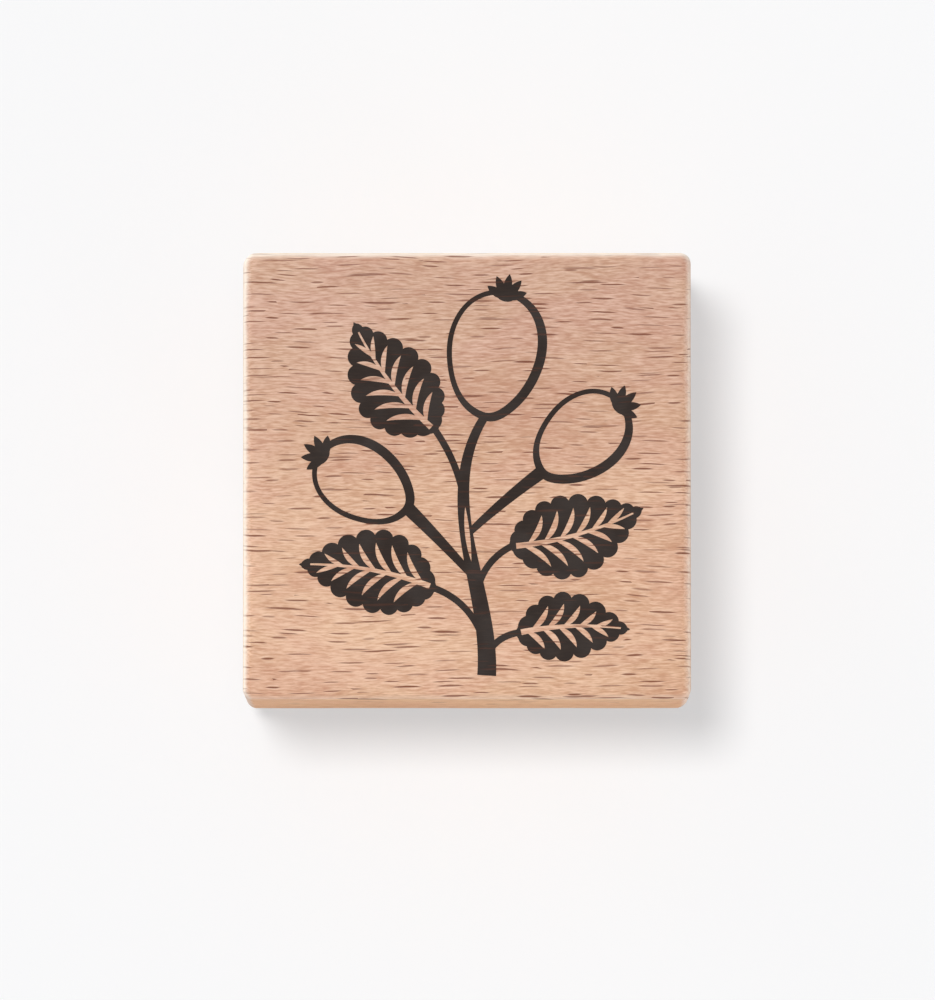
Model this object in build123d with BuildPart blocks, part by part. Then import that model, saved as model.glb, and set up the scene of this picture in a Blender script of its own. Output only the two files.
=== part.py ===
"""Wood-mounted rubber stamp: a beech block, a foam cushion and an engraved rubber die, held by two
tape films, with the design printed on the block's top face to show what the die prints.

Units are millimetres. The stamp stands on its die: Z = 0 is the printing face, +Z is up, and the
origin is under the centre of the block. The grain of the block runs along X.
"""

import math
import os

from build123d import *

os.makedirs("parts", exist_ok=True)

# ----------------------------------------------------------------------------- driving dimensions

block_length = 50.0  # along X, with the grain
block_width = 50.0  # along Y
block_height = 24.0
block_corner_radius = 1.3  # upright corners
block_edge_radius = 1.1  # sanded round-over of the top and bottom edges

relief_height = 1.2  # depth that the rubber is engraved to
die_floor = 1.1  # rubber left under the engraving
cushion_thickness = 3.0
tape_thickness = 0.1
ink_thickness = 0.04

art_border = 3.1  # bare wood from the design to the nearest block edge
trim_margin = 1.5  # rubber left outside the design where the die is cut out

# Heights at which one layer ends and the next begins.
die_top = relief_height + die_floor
cushion_bottom = die_top + tape_thickness
cushion_top = cushion_bottom + cushion_thickness
block_bottom = cushion_top + tape_thickness
block_top = block_bottom + block_height

# -------------------------------------------------------------- the design, at its drawing size
# A plain sprig with toothed leaves and three hips. It is drawn about the origin, drawing_height
# tall, and then scaled to the block. The printed design and the die's relief are the same sketch
# as seen from above, so the relief is mirrored when it is read from below.

drawing_height = 43.8
art_scale = (min(block_length, block_width) - 2 * art_border) / drawing_height

stem_width = 2.1  # at the cut end
twig_width = 0.95  # where the stem has run out
stalk_width = 0.75
hip_stalk_width = 1.5  # where a stalk flares into its hip
line_stations = 5  # places where the width of a drawn line is set

# A leaf. Shares are of its length, or of half its width.
leaf_fullness = 0.75  # under 1, the widest place is nearer the base than the tip
tooth_rise = 0.34  # height of the fullest tooth, as a share of its length along the edge
tooth_lean = 0.62  # where a tooth's crest stands between its two valleys
midrib_width = 0.66
midrib_taper = 0.3  # width left at the tip
midrib_shares = (0.05, 0.5, 0.92)  # stretch of the leaf that the midrib runs along
vein_width = 0.72
vein_least = 0.55  # width of the shortest vein, as a share of vein_width
vein_growth = 0.9  # how much a vein widens with its reach
vein_first = 0.09  # share of the length at the first side vein's root
vein_spread = 0.7  # share of the length that the roots are spread over
vein_stagger = 0.3  # how far one side's veins stand ahead of the other's, in vein steps
vein_lead = 0.16  # share of the length that a side vein gains on its way out
vein_reach = 0.78  # how far out a side vein goes
vein_bend = 0.14

# A hip: two ovals, one inside the other, with a tuft of sepals.
oval_points = 10
oval_taper = 0.14  # how much narrower the stalk half is
outline_width = 0.62  # of the line on its thin side
stalk_end_line = 1.5  # width of the line at the stalk end, in outline widths
side_line = 1.3  # mean width of the line at the sides, in outline widths
line_shift = 0.4  # how far the inner oval stands off centre, in outline widths
sepal_count = 5
sepal_length = 2.3
sepal_spread = 38.0  # degrees between two sepals
sepal_width = 0.42  # shares of the sepals' length, as the next three are
crown_inset = 0.2
crown_half_length = 0.36
crown_half_width = 0.5
sepal_root = 0.5  # how far behind the crown's centre a sepal starts

covered = []  # (point, radius) circles that the design lies within


def across(direction):
    """Unit vector at a right angle, to the left of a direction."""
    return Vector(-direction.Y, direction.X).normalized()


def draw_line(points, start_width, end_width, mode=Mode.ADD):
    """Draws a smooth line through points, tapering from one width to the other."""
    with BuildLine(mode=Mode.PRIVATE) as centre:
        Spline(*points)
    left, right = [], []
    for station in range(line_stations + 1):
        share = station / line_stations
        half = (start_width + (end_width - start_width) * share) / 2
        spot = centre.line @ share
        side = across(centre.line % share)
        left.append(spot + side * half)
        right.append(spot - side * half)
    with BuildLine() as outline:
        Spline(*left)
        Line(left[-1], right[-1])
        Spline(*right[::-1])
        Line(right[0], left[0])
    make_face(outline.edges(), mode=mode)


def draw_spindle(start, finish, width, bend, mode=Mode.ADD):
    """Draws a shape pointed at both ends and width across its middle, bent to the left by bend."""
    middle = (start + finish) / 2
    side = across(finish - start)
    with BuildLine() as outline:
        ThreePointArc(start, middle + side * (bend + width / 2), finish)
        ThreePointArc(finish, middle + side * (bend - width / 2), start)
    make_face(outline.edges(), mode=mode)


def draw_leaf(base, heading, length, width, bow, teeth, veins):
    """Draws a solid toothed leaf from its base, with its midrib and side veins left bare.

    bow is how far the midrib bends to the left. teeth and veins are the number on each side.
    """
    ahead = Vector(1, 0).rotate(Axis.Z, heading)
    side = across(ahead)

    def spot(share, out):
        """The point at a share of the length, and at a distance out to the left of the midrib."""
        bent = bow * 4 * share * (1 - share)
        return Vector(*base) + ahead * (length * share) + side * (out + bent)

    def half_width(share):
        """Half the leaf's width at a share of its length, without the teeth."""
        return width / 2 * math.sin(math.pi * share**leaf_fullness)

    with BuildLine() as edge:
        for hand in (1, -1):
            valleys = []
            for tooth in range(teeth + 1):
                share = (1 - math.cos(math.pi * tooth / teeth)) / 2
                valleys.append(spot(share, hand * half_width(share)))
            for tooth, (start, finish) in enumerate(zip(valleys, valleys[1:])):
                crest = start + (finish - start) * tooth_lean
                outward = across(finish - start) * hand
                fullness = math.sin(math.pi * (tooth + 0.5) / teeth)
                rise = tooth_rise * fullness * (finish - start).length
                ThreePointArc(start, crest + outward * rise, finish)
    make_face(edge.edges())

    rib = [spot(share, 0) for share in midrib_shares]
    draw_line(rib, midrib_width, midrib_taper * midrib_width, Mode.SUBTRACT)
    for hand in (1, -1):
        for vein in range(veins):
            ahead_of_other = vein_stagger if hand > 0 else 0.0
            root = vein_first + vein_spread * (vein + ahead_of_other) / veins
            reach = vein_reach * half_width(root + vein_lead)
            draw_spindle(
                spot(root, 0),
                spot(root + vein_lead, hand * reach),
                vein_width * (vein_least + vein_growth * reach / width),
                -hand * vein_bend * reach,
                Mode.SUBTRACT,
            )
    widest = 0.5 ** (1 / leaf_fullness)
    covered.append((spot(widest, 0), width / 2 + tooth_rise * length / teeth))
    covered.append((spot(1, 0), tooth_rise * length / teeth))


def draw_hip(base, heading, length, width):
    """Draws a hip as an oval outline from its stalk end, with a tuft of sepals at its far end."""
    ahead = Vector(1, 0).rotate(Axis.Z, heading)
    side = across(ahead)

    def oval(start, finish, half, shift):
        """Points round an oval that is a little narrower towards its stalk end."""
        points = []
        for step in range(oval_points):
            turn = 2 * math.pi * step / oval_points
            along = start + (finish - start) * (1 - math.cos(turn)) / 2
            out = half * math.sin(turn) * (1 - oval_taper * math.cos(turn)) + shift
            points.append(Vector(*base) + ahead * along + side * out)
        return points

    with BuildLine() as outside:
        Spline(*oval(0, length, width / 2, 0), periodic=True)
    make_face(outside.edges())
    start = stalk_end_line * outline_width
    half = width / 2 - side_line * outline_width
    shift = line_shift * outline_width
    with BuildLine() as inside:
        Spline(*oval(start, length - outline_width, half, shift), periodic=True)
    make_face(inside.edges(), mode=Mode.SUBTRACT)

    crown = Vector(*base) + ahead * (length - crown_inset * sepal_length)
    for sepal in range(sepal_count):
        turn = sepal_spread * (sepal - (sepal_count - 1) / 2)
        tip = crown + ahead.rotate(Axis.Z, turn) * sepal_length
        draw_spindle(crown - ahead * sepal_root, tip, sepal_width * sepal_length, 0)
    with Locations(crown):
        Ellipse(crown_half_length * sepal_length, crown_half_width * sepal_length, rotation=heading)

    covered.append((Vector(*base) + ahead * (length / 2), length / 2))
    covered.append((crown, sepal_length))


with BuildSketch() as sprig:
    draw_leaf((-3.4, 4.9), 127, 15.4, 8.4, 0.8, 12, 6)
    draw_leaf((4.7, -7.9), 16, 15.6, 8.2, -0.8, 12, 6)
    draw_leaf((-3.4, -12.6), 170, 15.6, 8.2, -0.8, 12, 6)
    draw_leaf((5.4, -17.6), 2, 12.8, 6.6, 0.6, 10, 5)
    draw_hip((1.9, 6.2), 80, 14.8, 11.0)
    draw_hip((8.0, 0.2), 40, 12.4, 9.2)
    draw_hip((-6.3, -3.9), 148, 12.2, 9.0)
    draw_line([(2.2, -22.3), (1.0, -12), (-0.4, -3), (1.9, 6.5)], stem_width, twig_width)
    draw_line([(-0.2, -3.4), (-1.5, 1.4), (-3.6, 5.2)], stalk_width, stalk_width)
    draw_line([(0.2, -6.4), (3.4, -3.5), (8.3, 0.4)], stalk_width, hip_stalk_width)
    draw_line([(0.8, -11.4), (-2.4, -7.9), (-6.5, -3.7)], stalk_width, hip_stalk_width)
    draw_line([(1.1, -13.2), (2.4, -10.0), (5.1, -7.8)], stalk_width, stalk_width)
    draw_line([(1.6, -17.7), (-0.6, -14.4), (-3.8, -12.5)], stalk_width, stalk_width)
    draw_line([(1.9, -20.9), (3.2, -18.7), (5.8, -17.5)], stalk_width, stalk_width)
    draw_spindle(Vector(0.5, -9.6), Vector(-0.2, -3.4), 0.55, 0.1, Mode.SUBTRACT)
    scale(by=art_scale)
covered.append((Vector(2.2, -22.3 + stem_width / 2), stem_width / 2))

with BuildSketch() as trim:
    for point, radius in covered:
        with Locations(point * art_scale):
            Circle(radius * art_scale + trim_margin)
    make_hull()

# ------------------------------------------------------------------------------------ the pieces

with BuildPart() as wood_block:
    with BuildSketch(Plane.XY.offset(block_bottom)):
        RectangleRounded(block_length, block_width, block_corner_radius)
    extrude(amount=block_height)
    fillet(wood_block.faces().filter_by(Axis.Z).edges(), radius=block_edge_radius)

with BuildPart() as index_print:
    with BuildSketch(Plane.XY.offset(block_top)):
        add(sprig.sketch)
    extrude(amount=ink_thickness)

with BuildPart() as block_tape:
    with BuildSketch(Plane.XY.offset(cushion_top)):
        add(trim.sketch)
    extrude(amount=tape_thickness)

with BuildPart() as foam_cushion:
    with BuildSketch(Plane.XY.offset(cushion_bottom)):
        add(trim.sketch)
    extrude(amount=cushion_thickness)

with BuildPart() as die_tape:
    with BuildSketch(Plane.XY.offset(die_top)):
        add(trim.sketch)
    extrude(amount=tape_thickness)

with BuildPart() as rubber_die:
    with BuildSketch(Plane.XY.offset(relief_height)):
        add(trim.sketch)
    extrude(amount=die_floor)
    with BuildSketch(Plane.XY):
        add(sprig.sketch)
    extrude(amount=relief_height)

pieces = {
    "wood_block": wood_block,
    "index_print": index_print,
    "block_tape": block_tape,
    "foam_cushion": foam_cushion,
    "die_tape": die_tape,
    "rubber_die": rubber_die,
}
for name, piece in pieces.items():
    piece.part.label = name
    export_step(piece.part, f"parts/{name}.step")
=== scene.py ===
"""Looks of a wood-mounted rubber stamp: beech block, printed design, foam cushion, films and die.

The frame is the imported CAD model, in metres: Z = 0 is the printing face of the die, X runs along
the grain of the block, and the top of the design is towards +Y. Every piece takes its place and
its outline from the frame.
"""

import logging
import math
from abc import ABC, abstractmethod
from dataclasses import dataclass
from enum import Enum
from typing import ClassVar

import bmesh
import bpy
import numpy as np
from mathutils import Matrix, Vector, noise
from mathutils.geometry import delaunay_2d_cdt


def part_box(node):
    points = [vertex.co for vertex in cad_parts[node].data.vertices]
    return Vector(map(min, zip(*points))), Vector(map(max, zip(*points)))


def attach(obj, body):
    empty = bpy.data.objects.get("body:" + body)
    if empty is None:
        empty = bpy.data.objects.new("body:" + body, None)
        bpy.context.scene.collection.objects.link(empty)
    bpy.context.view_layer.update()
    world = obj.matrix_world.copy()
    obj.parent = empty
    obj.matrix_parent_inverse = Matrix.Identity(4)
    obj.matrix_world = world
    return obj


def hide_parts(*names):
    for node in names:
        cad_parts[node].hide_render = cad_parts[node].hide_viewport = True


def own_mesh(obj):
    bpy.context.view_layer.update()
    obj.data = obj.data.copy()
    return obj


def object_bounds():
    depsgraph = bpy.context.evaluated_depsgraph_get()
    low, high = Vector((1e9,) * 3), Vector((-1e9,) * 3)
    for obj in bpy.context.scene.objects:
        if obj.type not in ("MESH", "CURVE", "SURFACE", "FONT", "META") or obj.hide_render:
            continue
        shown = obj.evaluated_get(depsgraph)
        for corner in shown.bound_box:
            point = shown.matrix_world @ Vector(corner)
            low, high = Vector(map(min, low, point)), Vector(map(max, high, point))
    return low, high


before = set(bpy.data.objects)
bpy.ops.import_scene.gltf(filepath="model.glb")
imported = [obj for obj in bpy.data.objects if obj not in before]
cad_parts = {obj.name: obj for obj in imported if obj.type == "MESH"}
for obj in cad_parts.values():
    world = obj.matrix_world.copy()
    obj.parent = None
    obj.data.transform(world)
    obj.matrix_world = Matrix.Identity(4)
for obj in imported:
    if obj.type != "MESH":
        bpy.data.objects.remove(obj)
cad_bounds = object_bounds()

log = logging.getLogger("rubber_stamp")

MM = 0.001
Colour = tuple[float, float, float, float]
Socket = bpy.types.NodeSocket
Value = Socket | float | tuple


class Body(Enum):
    """The bodies of the frame that a piece can ride on."""

    BLOCK = "block"
    DIE = "die"


class Slot(Enum):
    """The record's material slots."""

    BEECH = "beech"
    INK = "ink"
    TAPE = "tape"
    FOAM = "foam"
    RUBBER = "rubber"


def screen_colour(red: int, green: int, blue: int) -> Colour:
    """Turns a colour as it shows on a screen into the linear colour that a shader works in.

    Args:
        red: Red, from 0 to 255.
        green: Green, from 0 to 255.
        blue: Blue, from 0 to 255.

    Returns:
        The linear colour, with full alpha.
    """
    shares = [channel / 255 for channel in (red, green, blue)]
    linear = [c / 12.92 if c <= 0.04045 else ((c + 0.055) / 1.055) ** 2.4 for c in shares]
    return (*linear, 1.0)


# --------------------------------------------------------------------------------- shader graphs


class Graph:
    """Adds nodes to one shader tree, so that an effect reads as a list of steps."""

    def __init__(self, tree: bpy.types.NodeTree) -> None:
        """Works on one tree."""
        self.tree = tree

    def add(self, kind: str, inputs: dict | None = None, **settings: object) -> bpy.types.Node:
        """Adds a node.

        Args:
            kind: The node's type, without its ShaderNode prefix.
            inputs: What feeds its inputs, by name or number: a socket or a plain value.
            **settings: The node's own settings.

        Returns:
            The new node.
        """
        node = self.tree.nodes.new("ShaderNode" + kind)
        for name, value in settings.items():
            setattr(node, name, value)
        for name, value in (inputs or {}).items():
            self.feed(node.inputs[name], value)
        return node

    def feed(self, socket: Socket, value: Value) -> None:
        """Links a socket to an input, or gives the input a plain value."""
        if isinstance(value, Socket):
            self.tree.links.new(value, socket)
        else:
            socket.default_value = value

    def math(self, operation: str, *values: Value) -> Socket:
        """Returns a Math node's result on up to three values."""
        return self.add("Math", dict(enumerate(values)), operation=operation).outputs[0]

    def vector(self, operation: str, *values: Value) -> Socket:
        """Returns a Vector Math node's vector on up to three vectors."""
        return self.add("VectorMath", dict(enumerate(values)), operation=operation).outputs[0]

    def join(self, x: Value, y: Value, z: Value) -> Socket:
        """Returns a vector made of three numbers."""
        return self.add("CombineXYZ", {0: x, 1: y, 2: z}).outputs[0]

    def split(self, vector: Socket) -> list[Socket]:
        """Returns the three numbers of a vector or colour."""
        return list(self.add("SeparateXYZ", {0: vector}).outputs)

    def blend(self, share: Value, first: Value, second: Value, mode: str = "MIX") -> Socket:
        """Returns a mix of two colours, by a share of the second."""
        node = self.add("Mix", {0: share, 6: first, 7: second}, data_type="RGBA", blend_type=mode)
        return node.outputs[2]

    def between(
        self, value: Value, low: Value, high: Value, start: Value = 0.0, end: Value = 1.0
    ) -> Socket:
        """Maps a value smoothly from one range to another, and holds it inside that.

        Args:
            value: What is mapped.
            low: Where the first range starts.
            high: Where the first range ends.
            start: What low becomes.
            end: What high becomes.

        Returns:
            The mapped value.
        """
        inputs = {"Value": value, "From Min": low, "From Max": high, "To Min": start, "To Max": end}
        return self.add("MapRange", inputs, interpolation_type="SMOOTHSTEP").outputs[0]

    def noise(self, place: Socket, grain: tuple, detail: float = 2.0, rough: float = 0.5) -> bpy.types.Node:
        """Adds a noise texture whose grain has a size of its own along each axis.

        Args:
            place: The place in millimetres.
            grain: The size of the grain along X, Y and Z, in millimetres.
            detail: How many finer layers it has.
            rough: How strong the finer layers are.

        Returns:
            The noise node, with its number at output 0 and its colour at output 1.
        """
        scaled = self.vector("MULTIPLY", place, tuple(1 / size for size in grain))
        return self.add("TexNoise", {"Vector": scaled, "Scale": 1.0, "Detail": detail, "Roughness": rough})

    def place(self) -> Socket:
        """Returns the place on the piece in millimetres, in the frame's axes."""
        spot = self.add("TexCoord").outputs["Object"]
        return self.vector("MULTIPLY", spot, (1 / MM,) * 3)

    def mark(self, name: str) -> Socket:
        """Returns a mesh attribute that the piece was built with, from 0 to 1."""
        return self.add("Attribute", attribute_name=name).outputs["Fac"]

    def bump(self, height: Socket) -> Socket:
        """Returns the normal of a relief whose height is given in millimetres."""
        return self.add("Bump", {"Strength": 1.0, "Distance": MM, "Height": height}).outputs[0]


class Effect(ABC):
    """A node group with named inputs and outputs. It is built once and placed where it is used."""

    name: ClassVar[str]
    inputs: ClassVar[dict[str, float | tuple]]
    outputs: ClassVar[tuple[str, ...]]

    def tree(self) -> bpy.types.NodeTree:
        """Returns the group's tree, and builds it at the first call."""
        made = bpy.data.node_groups.get(self.name)
        if made:
            return made
        tree = bpy.data.node_groups.new(self.name, "ShaderNodeTree")
        for name, value in self.inputs.items():
            kind = "NodeSocketVector" if isinstance(value, tuple) else "NodeSocketFloat"
            tree.interface.new_socket(name=name, in_out="INPUT", socket_type=kind)
        for name in self.outputs:
            tree.interface.new_socket(name=name, in_out="OUTPUT", socket_type="NodeSocketFloat")
        graph = Graph(tree)
        given = tree.nodes.new("NodeGroupInput").outputs
        result = tree.nodes.new("NodeGroupOutput").inputs
        for name, socket in self.wire(graph, {name: given[name] for name in self.inputs}).items():
            tree.links.new(socket, result[name])
        return tree

    def on(self, graph: Graph, **given: Value) -> dict[str, Socket]:
        """Places the group in a graph.

        Args:
            graph: Where it goes.
            **given: Its inputs, in lower case with _ for a space. The others keep their usual value.

        Returns:
            Its outputs, by name.
        """
        node = graph.tree.nodes.new("ShaderNodeGroup")
        node.node_tree = self.tree()
        for name, usual in self.inputs.items():
            graph.feed(node.inputs[name], given.get(name.lower().replace(" ", "_"), usual))
        return {name: node.outputs[name] for name in self.outputs}

    @abstractmethod
    def wire(self, graph: Graph, given: dict[str, Socket]) -> dict[str, Socket]:
        """Adds the group's nodes, and returns what feeds each output."""


class FleckField(Effect):
    """Thin plates scattered through a solid, pointed at both ends along X, as rays are in beech, each with a
    pale rim round it that is a painted highlight.
    """

    name = "fleck_field"
    inputs = {
        "Place": (0.0, 0.0, 0.0),
        "Cell": (5.6, 1.05, 9.0),
        "Least Length": 0.95,
        "Most Length": 2.1,
        "Thickness": 0.125,
    }
    outputs = ("Flecks", "Painted Highlights")

    scatter: ClassVar[float] = 0.9  # how far a plate stands from the middle of its cell
    thinnest: ClassVar[float] = 0.5  # share of the thickness that the thinnest plates have
    faintest: ClassVar[float] = 0.6
    soft_edge: ClassVar[tuple[float, float]] = (1.3, 0.3)  # shares of the half thickness
    # a pale rim just outside each plate, a painted highlight beside the fleck, in shares of the half
    # thickness
    highlight_edge: ClassVar[tuple[float, float]] = (4.2, 1.6)
    end_fade: ClassVar[tuple[float, float]] = (1.0, 0.45)  # shares of the half length

    def wire(self, graph: Graph, given: dict[str, Socket]) -> dict[str, Socket]:
        """Finds the nearest plate's middle, and masks by the distance from it along each axis."""
        spot = graph.vector("DIVIDE", given["Place"], given["Cell"])
        cells = graph.add("TexVoronoi", {"Vector": spot, "Scale": 1.0, "Randomness": self.scatter})
        apart = graph.vector("SUBTRACT", spot, cells.outputs["Position"])
        along, across, _ = graph.split(graph.vector("MULTIPLY", apart, given["Cell"]))
        reach, width, tint = graph.split(cells.outputs["Color"])
        length = graph.between(reach, 0.0, 1.0, given["Least Length"], given["Most Length"])
        along = graph.math("DIVIDE", graph.math("ABSOLUTE", along), length)
        spindle = graph.math("SUBTRACT", 1.0, graph.math("MULTIPLY", along, along))
        share = graph.between(width, 0.0, 1.0, self.thinnest, 1.0)
        half = graph.math("MULTIPLY", graph.math("MULTIPLY", share, given["Thickness"]), spindle)
        thin = graph.math("DIVIDE", graph.math("ABSOLUTE", across), graph.math("MAXIMUM", half, 0.001))
        strength = graph.between(tint, 0.0, 1.0, self.faintest, 1.0)
        strength = graph.math("MULTIPLY", strength, graph.between(along, *self.end_fade))
        core = graph.between(thin, *self.soft_edge)
        # painted highlight: a pale band round each plate
        rim = graph.math("SUBTRACT", graph.between(thin, *self.highlight_edge), core)
        return {
            "Flecks": graph.math("MULTIPLY", core, strength),
            "Painted Highlights": graph.math("MULTIPLY", rim, strength),
        }


class BeechFigure(Effect):
    """The solid figure of beech: rays, fibres, year rings and slow changes of tone.

    Rays are plates along the grain and across the rings. They show as dark flecks on the top and
    bottom, as broad flakes on the long sides, and as fine upright lines on the end grain.
    """

    name = "beech_figure"
    inputs = {"Place": (0.0, 0.0, 0.0)}
    outputs = ("Rays", "Painted Highlights", "Dashes", "Fibres", "Coarse", "Rings", "Tone", "Hue", "Sapwood", "Pores")

    drift_grain: ClassVar[tuple] = (17.0, 11.0, 8.0)
    drift: ClassVar[tuple] = (0.0, 1.8, 1.4)  # how far the grain wanders sideways, in millimetres
    waver_grain: ClassVar[tuple] = (1.9, 1.3, 3.0)
    waver: ClassVar[tuple] = (0.0, 0.12, 0.16)
    pith: ClassVar[tuple] = (9.0, -96.0)  # Y and Z of the tree's middle
    ring_width: ClassVar[float] = 2.7
    ring_grain: ClassVar[tuple] = (60.0, 14.0, 14.0)
    ring_waver: ClassVar[float] = 2.4
    fibre_grain: ClassVar[tuple] = (1.5, 0.19, 0.19)
    pore_cell: ClassVar[tuple] = (3.0, 0.16, 0.16)
    pore_edge: ClassVar[tuple[float, float]] = (0.42, 0.12)
    coarse_grain: ClassVar[tuple] = (5.5, 0.6, 0.6)
    tone_grain: ClassVar[tuple] = (34.0, 15.0, 15.0)
    hue_grain: ClassVar[tuple] = (11.0, 5.0, 5.0)
    sapwood: ClassVar[tuple[float, float]] = (24.0, -14.0)  # the wood pales between these places on Y
    apart: ClassVar[tuple] = (31.0, 17.0, 5.0)  # sets the rarer rays clear of the common ones
    long_rays: ClassVar[dict] = {
        "cell": (12.0, 3.4, 16.0), "least_length": 1.6, "most_length": 2.9, "thickness": 0.15
    }
    dashes: ClassVar[dict] = {
        "cell": (1.9, 0.34, 2.4), "least_length": 0.3, "most_length": 0.85, "thickness": 0.055
    }
    late_growth: ClassVar[float] = 2.5  # the higher, the later in the year the wood darkens
    ring_end: ClassVar[float] = 0.94

    def wire(self, graph: Graph, given: dict[str, Socket]) -> dict[str, Socket]:
        """Bends the place with the wandering grain, and reads each part of the figure there."""
        place = given["Place"]
        for grain, most in ((self.drift_grain, self.drift), (self.waver_grain, self.waver)):
            wander = graph.noise(given["Place"], grain, detail=1.0).outputs[1]
            shift = graph.vector("MULTIPLY", graph.vector("SUBTRACT", wander, (0.5,) * 3), most)
            place = graph.vector("ADD", place, shift)

        field = FleckField()
        rays = field.on(graph, place=place)
        far = graph.vector("ADD", place, self.apart)
        long_rays = field.on(graph, place=far, **self.long_rays)["Flecks"]
        dashes = field.on(graph, place=far, **self.dashes)["Flecks"]
        pores = graph.vector("DIVIDE", place, self.pore_cell)
        pores = graph.add("TexVoronoi", {"Vector": pores, "Scale": 1.0}).outputs["Distance"]

        _, y, z = graph.split(place)
        side = graph.math("SUBTRACT", y, self.pith[0])
        height = graph.math("SUBTRACT", z, self.pith[1])
        squares = [graph.math("MULTIPLY", run, run) for run in (side, height)]
        wavering = graph.noise(given["Place"], self.ring_grain, detail=1.0).outputs[0]
        stray = graph.math("MULTIPLY", wavering, self.ring_waver)
        radius = graph.math("ADD", graph.math("SQRT", graph.math("ADD", *squares)), stray)
        year = graph.math("FRACT", graph.math("DIVIDE", radius, self.ring_width))
        late = graph.math("POWER", year, self.late_growth)
        rings = graph.math("MULTIPLY", late, graph.between(year, 1.0, self.ring_end))

        return {
            "Rays": graph.math("MAXIMUM", rays["Flecks"], long_rays),
            # painted highlights: pale rims beside the flecks
            "Painted Highlights": rays["Painted Highlights"],
            "Dashes": dashes,
            "Fibres": graph.noise(place, self.fibre_grain, detail=2.0, rough=0.6).outputs[0],
            "Coarse": graph.noise(place, self.coarse_grain, detail=2.0, rough=0.55).outputs[0],
            "Rings": rings,
            "Tone": graph.noise(place, self.tone_grain, detail=1.0).outputs[0],
            "Hue": graph.noise(place, self.hue_grain, detail=2.0).outputs[0],
            "Sapwood": graph.between(y, *self.sapwood),
            "Pores": graph.between(pores, *self.pore_edge),
        }


class EdgeWear(Effect):
    """Where handling and sanding have worn a piece near its edges, with a broken border. On the block, the
    nearness it is given also carries a painted highlight on the edges that face the light.
    """

    name = "edge_wear"
    inputs = {"Place": (0.0, 0.0, 0.0), "Nearness": 0.0, "Grain": (1.0, 1.0, 1.0), "Breakup": 0.7}
    outputs = ("Wear",)

    border: ClassVar[tuple[float, float]] = (-0.15, 1.1)
    loosened: ClassVar[tuple[float, float]] = (0.0, 0.3)
    begins: ClassVar[tuple[float, float]] = (0.0, 0.1)

    def wire(self, graph: Graph, given: dict[str, Socket]) -> dict[str, Socket]:
        """Adds noise to the nearness of the edge and cuts it softly, with no wear away from the edge."""
        spot = graph.vector("DIVIDE", given["Place"], given["Grain"])
        patches = graph.add("TexNoise", {"Vector": spot, "Scale": 1.0, "Detail": 3.0}).outputs[0]
        loose = graph.math("MULTIPLY", graph.math("SUBTRACT", patches, 0.5), given["Breakup"])
        loose = graph.math("MULTIPLY", loose, graph.between(given["Nearness"], *self.loosened))
        broken = graph.math("ADD", given["Nearness"], loose)
        worn = graph.between(broken, *self.border)
        return {"Wear": graph.math("MULTIPLY", worn, graph.between(given["Nearness"], *self.begins))}


class FineGrain(Effect):
    """Soft clouds and small specks, as cells, dust and scuffs are, at a size that is given."""

    name = "fine_grain"
    inputs = {"Place": (0.0, 0.0, 0.0), "Cell Size": 0.3, "Cloud Size": 6.0}
    outputs = ("Cells", "Specks", "Clouds")

    cell_edge: ClassVar[tuple[float, float]] = (0.15, 0.75)
    speck_share: ClassVar[tuple[float, float]] = (0.62, 0.78)

    def wire(self, graph: Graph, given: dict[str, Socket]) -> dict[str, Socket]:
        """Reads cells at their size, specks at half of it and clouds at theirs."""
        cell = graph.math("DIVIDE", 1.0, given["Cell Size"])
        cloud = graph.math("DIVIDE", 1.0, given["Cloud Size"])
        cells = graph.add("TexVoronoi", {"Vector": given["Place"], "Scale": cell}).outputs["Distance"]
        twice = graph.math("MULTIPLY", cell, 2.0)
        specks = graph.add("TexNoise", {"Vector": given["Place"], "Scale": twice, "Detail": 2.0}).outputs[0]
        clouds = graph.add("TexNoise", {"Vector": given["Place"], "Scale": cloud, "Detail": 3.0}).outputs[0]
        return {
            "Cells": graph.between(cells, *self.cell_edge),
            "Specks": graph.between(specks, *self.speck_share),
            "Clouds": clouds,
        }


# ----------------------------------------------------------------------------------- the finishes


@dataclass(frozen=True)
class Finish(ABC):
    """What all finishes share: one material with one Principled shader."""

    def material(self, name: str) -> bpy.types.Material:
        """Builds the material.

        Args:
            name: The material's name.

        Returns:
            The finished material.
        """
        made = bpy.data.materials.new(name)
        made.use_nodes = True
        made.node_tree.nodes.clear()
        graph = Graph(made.node_tree)
        shader = graph.add("BsdfPrincipled")
        end = graph.add("OutputMaterial")
        made.node_tree.links.new(shader.outputs[0], end.inputs[0])
        self.wire(graph, shader.inputs)
        return made

    @abstractmethod
    def wire(self, graph: Graph, shader: bpy.types.bpy_prop_collection) -> None:
        """Feeds the shader's inputs."""


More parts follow.
